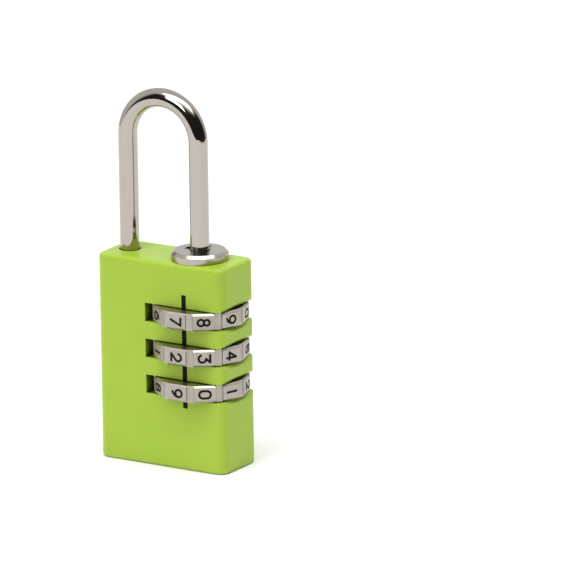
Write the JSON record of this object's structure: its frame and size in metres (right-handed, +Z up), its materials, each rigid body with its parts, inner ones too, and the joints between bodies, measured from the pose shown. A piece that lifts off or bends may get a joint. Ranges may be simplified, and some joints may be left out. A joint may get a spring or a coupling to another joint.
{
  "type": "luggage combination padlock",
  "caption": "Small combination padlock with a slim painted body, a tall chromed shackle on one side hinge, and numbered metal dials that turn in slots.",
  "frame": {"origin": "centre of the flat underside of the body", "axes": "+Z up along the shackle legs, numbered front faces -Y, dial axis and shackle heel on the +X side"},
  "size_m": [0.0205, 0.0128, 0.0514],
  "materials": {
    "body_paint": "gloss",
    "black_paint": "satin",
    "shackle_chrome": "polished",
    "dial_metal": "satin",
    "sleeve_brass": "satin",
    "spring_steel": "satin"
  },
  "bodies": {
    "casing": {"casing": "body_paint", "base_plate": "body_paint", "collar": "shackle_chrome", "detent_spring": "spring_steel", "index_mark_1": "black_paint", "index_mark_2": "black_paint", "index_mark_3": "black_paint", "index_mark_4": "black_paint", "sleeve_spring": "spring_steel"},
    "shackle": {"shackle": "shackle_chrome", "retaining_clip": "spring_steel"},
    "thrust_washer": {"thrust_washer": "spring_steel"},
    "dial_top": {"dial_top": "dial_metal", "numerals_top": "black_paint"},
    "sleeve_top": {"sleeve_top": "sleeve_brass"},
    "dial_middle": {"dial_middle": "dial_metal", "numerals_middle": "black_paint"},
    "sleeve_middle": {"sleeve_middle": "sleeve_brass"},
    "dial_bottom": {"dial_bottom": "dial_metal", "numerals_bottom": "black_paint"},
    "sleeve_bottom": {"sleeve_bottom": "sleeve_brass"}
  },
  "joints": [
    {"name": "dial_top_turn", "type": "hinge", "parent": "casing", "child": "dial_top", "pos_m": [0.004, 0, 0.0213], "axis": [0, 0, 1], "continuous": true},
    {"name": "dial_middle_turn", "type": "hinge", "parent": "casing", "child": "dial_middle", "pos_m": [0.004, 0, 0.0163], "axis": [0, 0, 1], "continuous": true},
    {"name": "dial_bottom_turn", "type": "hinge", "parent": "casing", "child": "dial_bottom", "pos_m": [0.004, 0, 0.0113], "axis": [0, 0, 1], "continuous": true},
    {"name": "shackle_lift", "type": "slide", "parent": "casing", "child": "shackle", "axis": [0, 0, 1], "range_m": [0, 0.0044]},
    {"name": "clutch_shift", "type": "slide", "parent": "casing", "child": "thrust_washer", "axis": [0, 0, -1], "range_m": [0, 0.0012], "stiffness_N_per_m": 300, "springref_m": -0.003, "deforming": ["sleeve_spring"]},
    {"name": "sleeve_top_shift", "type": "slide", "parent": "dial_top", "child": "sleeve_top", "axis": [0, 0, -1], "range_m": [0, 0.0012]},
    {"name": "sleeve_middle_shift", "type": "slide", "parent": "dial_middle", "child": "sleeve_middle", "axis": [0, 0, -1], "range_m": [0, 0.0012]},
    {"name": "sleeve_bottom_shift", "type": "slide", "parent": "dial_bottom", "child": "sleeve_bottom", "axis": [0, 0, -1], "range_m": [0, 0.0012]}
  ],
  "couplings": [
    {"joint": "sleeve_top_shift", "follows": "clutch_shift", "ratio": 1},
    {"joint": "sleeve_middle_shift", "follows": "clutch_shift", "ratio": 1},
    {"joint": "sleeve_bottom_shift", "follows": "clutch_shift", "ratio": 1}
  ]
}
